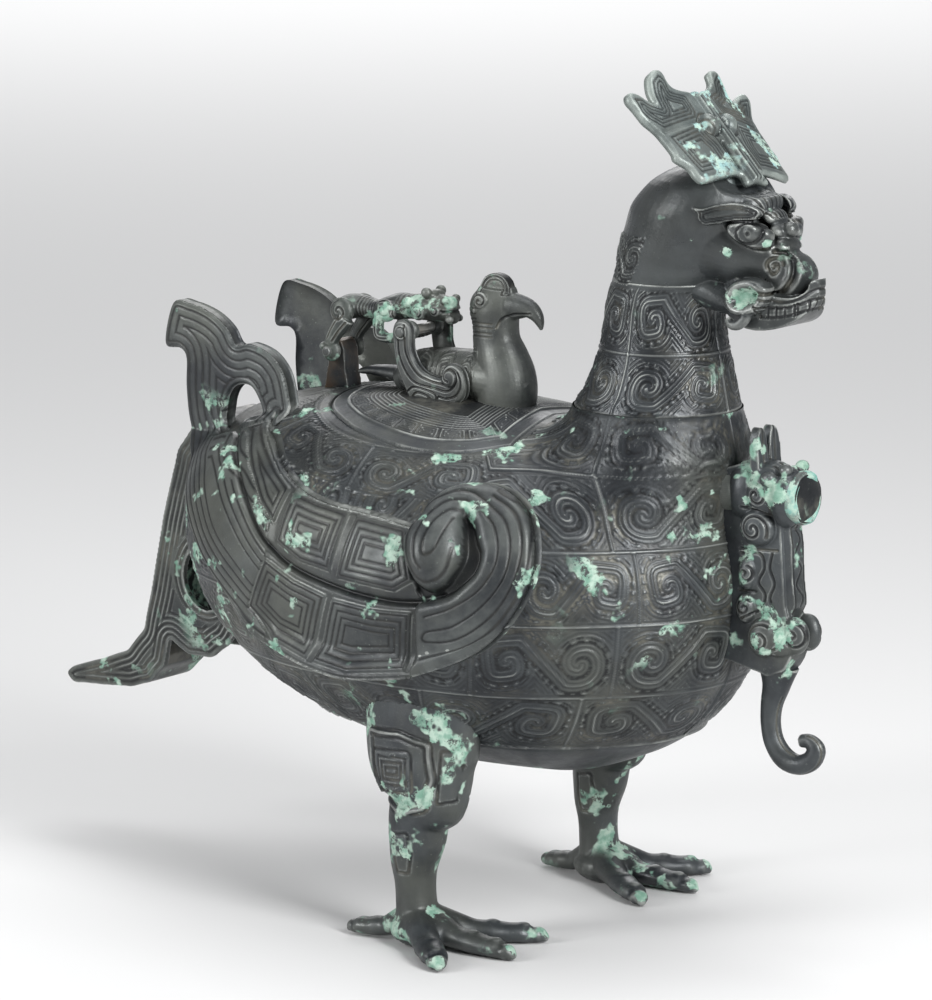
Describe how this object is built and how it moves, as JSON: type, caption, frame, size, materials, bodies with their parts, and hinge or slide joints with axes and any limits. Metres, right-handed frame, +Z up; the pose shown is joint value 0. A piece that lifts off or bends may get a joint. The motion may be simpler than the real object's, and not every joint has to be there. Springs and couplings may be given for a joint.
{
  "type": "bird-shaped ritual ewer",
  "caption": "Bronze ritual ewer shaped as a standing crested bird, with a dragon-held spout on the chest and a lid hinged on a small beast.",
  "frame": {"origin": "middle of the footprint, on the plane the feet stand on", "axes": "+X the way the bird faces (spout side), +Y its left side, +Z up"},
  "size_m": [0.3864, 0.1988, 0.3502],
  "materials": {
    "body_bronze": "dark grey-black aged bronze, worn smooth on the raised lines",
    "neck_bronze": "dark grey aged bronze, smooth skull",
    "crest_bronze": "pale green and blue corroded bronze",
    "right_wing_bronze": "grey aged bronze with green patches",
    "left_wing_bronze": "grey aged bronze with green patches",
    "tail_bronze": "dark aged bronze with green corrosion",
    "right_leg_bronze": "dark aged bronze with green corrosion",
    "left_leg_bronze": "dark aged bronze with green corrosion",
    "dragon_bronze": "dark aged bronze, green on the hips",
    "spout_bronze": "green corroded bronze",
    "post_bronze": "brown stained bronze",
    "lid_bronze": "dark polished bronze",
    "lid_bird_bronze": "grey aged bronze",
    "small_right_wing_bronze": "grey aged bronze",
    "small_left_wing_bronze": "grey aged bronze",
    "beast_bronze": "grey aged bronze with green tips",
    "front_pin_bronze": "dark bronze",
    "rear_pin_bronze": "dark bronze"
  },
  "bodies": {
    "vessel": {"body_shell": "body_bronze", "neck_head": "neck_bronze", "head_crest": "crest_bronze", "right_wing": "right_wing_bronze", "left_wing": "left_wing_bronze", "tail_plate": "tail_bronze", "right_leg": "right_leg_bronze", "left_leg": "left_leg_bronze", "spout_dragon": "dragon_bronze", "spout_tube": "spout_bronze", "hinge_post": "post_bronze", "rear_pin": "rear_pin_bronze"},
    "link": {"link_beast": "beast_bronze", "front_pin": "front_pin_bronze"},
    "lid": {"lid_plate": "lid_bronze", "lid_bird": "lid_bird_bronze", "lid_bird_right_wing": "small_right_wing_bronze", "lid_bird_left_wing": "small_left_wing_bronze"}
  },
  "joints": [
    {"name": "link_hinge", "type": "hinge", "parent": "vessel", "child": "link", "pos_m": [-0.0452, 0, 0.228], "axis": [0, -1, 0], "range_deg": [0, 60]},
    {"name": "lid_hinge", "type": "hinge", "parent": "link", "child": "lid", "pos_m": [-0.0042, 0, 0.24], "axis": [0, -1, 0], "range_deg": [-15, 0]}
  ],
  "couplings": [
    {"joint": "lid_hinge", "follows": "link_hinge", "ratio": -0.25}
  ]
}
